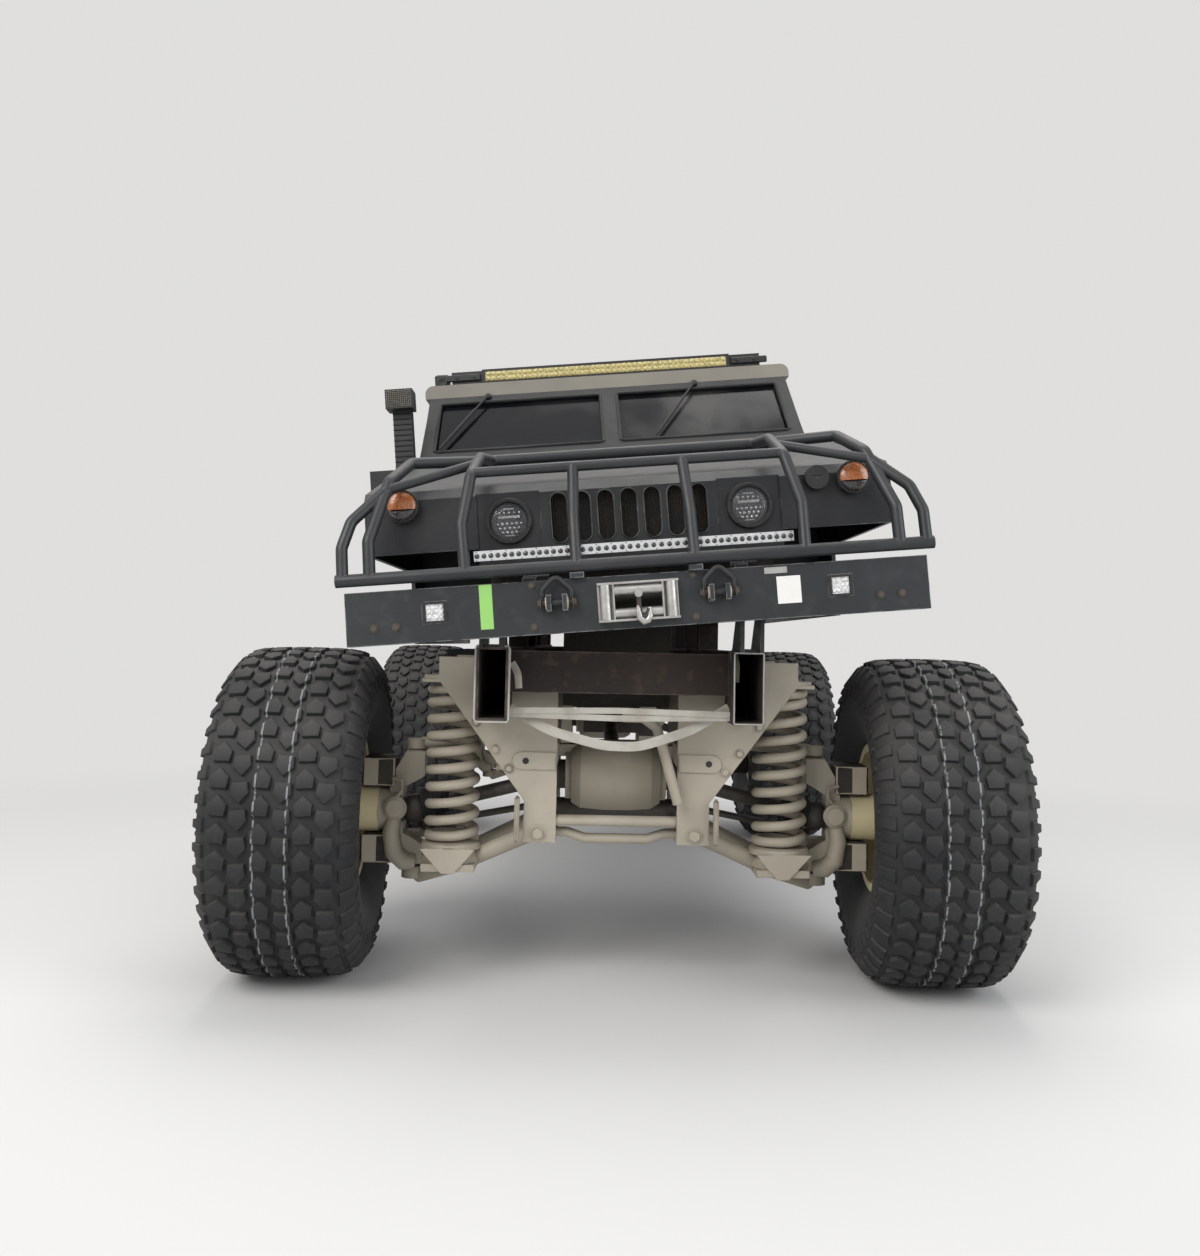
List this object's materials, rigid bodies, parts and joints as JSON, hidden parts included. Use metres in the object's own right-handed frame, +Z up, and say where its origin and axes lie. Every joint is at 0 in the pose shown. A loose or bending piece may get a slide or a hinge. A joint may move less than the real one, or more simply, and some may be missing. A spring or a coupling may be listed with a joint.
{
  "type": "lifted off-road truck",
  "caption": "Four-door off-road truck with a leaning black body, folding brush guard and cargo bed on a tube frame, coil-sprung wishbones and very large block-tread tyres.",
  "frame": {"origin": "on the ground under the middle of the overall box, half way between the axles", "axes": "+Z up, -Y is the front of the truck, +X is the driver's side"},
  "size_m": [3.3212, 5.158, 3.0489],
  "materials": {
    "bar_black": "matt",
    "body_black": "satin",
    "clear_glass": "clear",
    "exhaust_steel": "aged",
    "frame_rust": "rusty",
    "galvanised": "dull",
    "guard_black": "worn",
    "lamp_amber": "gloss",
    "lamp_glass": "clear",
    "lamp_red": "gloss",
    "roof_sand": "matt",
    "seat_cloth": "woven",
    "shaft_steel": "dull",
    "spring_steel": "matt",
    "strip_silver": "satin",
    "suspension_sand": "matt",
    "tank_black": "satin",
    "tyre_rubber": "dusty",
    "webbing": "woven",
    "wheel_cream": "satin"
  },
  "bodies": {
    "chassis": {"body_mounts": "frame_rust", "bumper": "body_black", "bumper_brackets": "frame_rust", "cab_tub": "body_black", "cargo_bed": "body_black", "coil_springs": "spring_steel", "control_arms": "suspension_sand", "dashboard": "bar_black", "differentials": "suspension_sand", "drive_shafts": "shaft_steel", "engine": "shaft_steel", "exhaust": "exhaust_steel", "fairlead": "strip_silver", "frame": "frame_rust", "fuel_tank": "tank_black", "mirrors": "body_black", "pod_lights": "lamp_glass", "rear_knuckles": "suspension_sand", "roof": "roof_sand", "roof_light_bar": "bar_black", "seats": "seat_cloth", "snorkel": "body_black", "steering_rack": "shaft_steel", "suspension_carriers": "suspension_sand", "tail_lights": "lamp_red", "tie_straps": "webbing", "tow_shackles": "galvanised", "transfer_case": "shaft_steel", "winch": "bar_black", "windshield_frame": "body_black", "windshield_glass": "clear_glass", "wipers": "bar_black"},
    "steered_left": {"front_knuckle_left": "suspension_sand"},
    "wheel_front_left": {"tyre_front_left": "tyre_rubber", "rim_front_left": "wheel_cream"},
    "door_body_front_left": {"door_front_left": "body_black", "door_glass_front_left": "clear_glass"},
    "wheel_rear_left": {"tyre_rear_left": "tyre_rubber", "rim_rear_left": "wheel_cream"},
    "door_body_rear_left": {"door_rear_left": "body_black", "door_glass_rear_left": "clear_glass"},
    "steered_right": {"front_knuckle_right": "suspension_sand"},
    "wheel_front_right": {"tyre_front_right": "tyre_rubber", "rim_front_right": "wheel_cream"},
    "door_body_front_right": {"door_front_right": "body_black", "door_glass_front_right": "clear_glass"},
    "wheel_rear_right": {"tyre_rear_right": "tyre_rubber", "rim_rear_right": "wheel_cream"},
    "door_body_rear_right": {"door_rear_right": "body_black", "door_glass_rear_right": "clear_glass"},
    "hood_body": {"hood": "body_black", "headlights": "lamp_glass", "turn_signals": "lamp_amber"},
    "guard_body": {"brush_guard": "guard_black", "light_strip": "strip_silver"},
    "gate_body": {"tailgate": "body_black"},
    "steering_wheel_body": {"steering_wheel": "bar_black"},
    "tie_rod_body": {"tie_rods": "shaft_steel"}
  },
  "joints": [
    {"name": "steer_left", "type": "hinge", "parent": "chassis", "child": "steered_left", "pos_m": [0.86, -1.775, 0.686], "axis": [0, 0, 1], "range_deg": [-28, 28]},
    {"name": "roll_front_left", "type": "hinge", "parent": "steered_left", "child": "wheel_front_left", "pos_m": [1.32436, -1.79934, 0.686], "axis": [0.9986, -0.0523, 0], "continuous": true},
    {"name": "roll_rear_left", "type": "hinge", "parent": "chassis", "child": "wheel_rear_left", "pos_m": [1.325, 1.775, 0.686], "axis": [1, 0, 0], "continuous": true},
    {"name": "door_front_left_hinge", "type": "hinge", "parent": "chassis", "child": "door_body_front_left", "pos_m": [1.06371, -0.813, 2.08923], "axis": [0.0872, 0, -0.9962], "range_deg": [0, 70]},
    {"name": "door_rear_left_hinge", "type": "hinge", "parent": "chassis", "child": "door_body_rear_left", "pos_m": [1.06371, 0.087, 2.08923], "axis": [0.0872, 0, -0.9962], "range_deg": [0, 70]},
    {"name": "steer_right", "type": "hinge", "parent": "chassis", "child": "steered_right", "pos_m": [-0.86, -1.775, 0.686], "axis": [0, 0, 1], "range_deg": [-28, 28]},
    {"name": "roll_front_right", "type": "hinge", "parent": "steered_right", "child": "wheel_front_right", "pos_m": [-1.32436, -1.79934, 0.686], "axis": [0.9986, 0.0523, 0], "continuous": true},
    {"name": "roll_rear_right", "type": "hinge", "parent": "chassis", "child": "wheel_rear_right", "pos_m": [-1.325, 1.775, 0.686], "axis": [1, 0, 0], "continuous": true},
    {"name": "door_front_right_hinge", "type": "hinge", "parent": "chassis", "child": "door_body_front_right", "pos_m": [-1.0283, -0.813, 1.9062], "axis": [-0.0872, 0, 0.9962], "range_deg": [0, 70]},
    {"name": "door_rear_right_hinge", "type": "hinge", "parent": "chassis", "child": "door_body_rear_right", "pos_m": [-1.0283, 0.087, 1.9062], "axis": [-0.0872, 0, 0.9962], "range_deg": [0, 70]},
    {"name": "guard_fold", "type": "hinge", "parent": "chassis", "child": "guard_body", "pos_m": [0.04237, -2.525, 1.71579], "axis": [0.9962, 0, 0.0872], "range_deg": [0, 90]},
    {"name": "hood_tilt", "type": "hinge", "parent": "chassis", "child": "hood_body", "pos_m": [0.04385, -2.295, 1.69886], "axis": [0.9962, 0, 0.0872], "range_deg": [0, 60]},
    {"name": "tailgate_drop", "type": "hinge", "parent": "chassis", "child": "gate_body", "pos_m": [0.04821, 2.561, 1.64905], "axis": [-0.9962, 0, -0.0872], "range_deg": [0, 90]},
    {"name": "steering_wheel_turn", "type": "hinge", "parent": "chassis", "child": "steering_wheel_body", "pos_m": [0.55027, -0.47244, 2.33578], "axis": [-0.0286, 0.9446, 0.3269], "range_deg": [-450, 450]},
    {"name": "tie_rod_slide", "type": "slide", "parent": "chassis", "child": "tie_rod_body", "axis": [-1, 0, 0], "range_m": [-0.0595, 0.0595]}
  ],
  "couplings": [
    {"joint": "steer_right", "follows": "steer_left", "ratio": 1},
    {"joint": "steering_wheel_turn", "follows": "steer_left", "ratio": 16},
    {"joint": "hood_tilt", "follows": "guard_fold", "ratio": 0.66667},
    {"joint": "tie_rod_slide", "follows": "steer_left", "m_per_rad": 0.12}
  ]
}
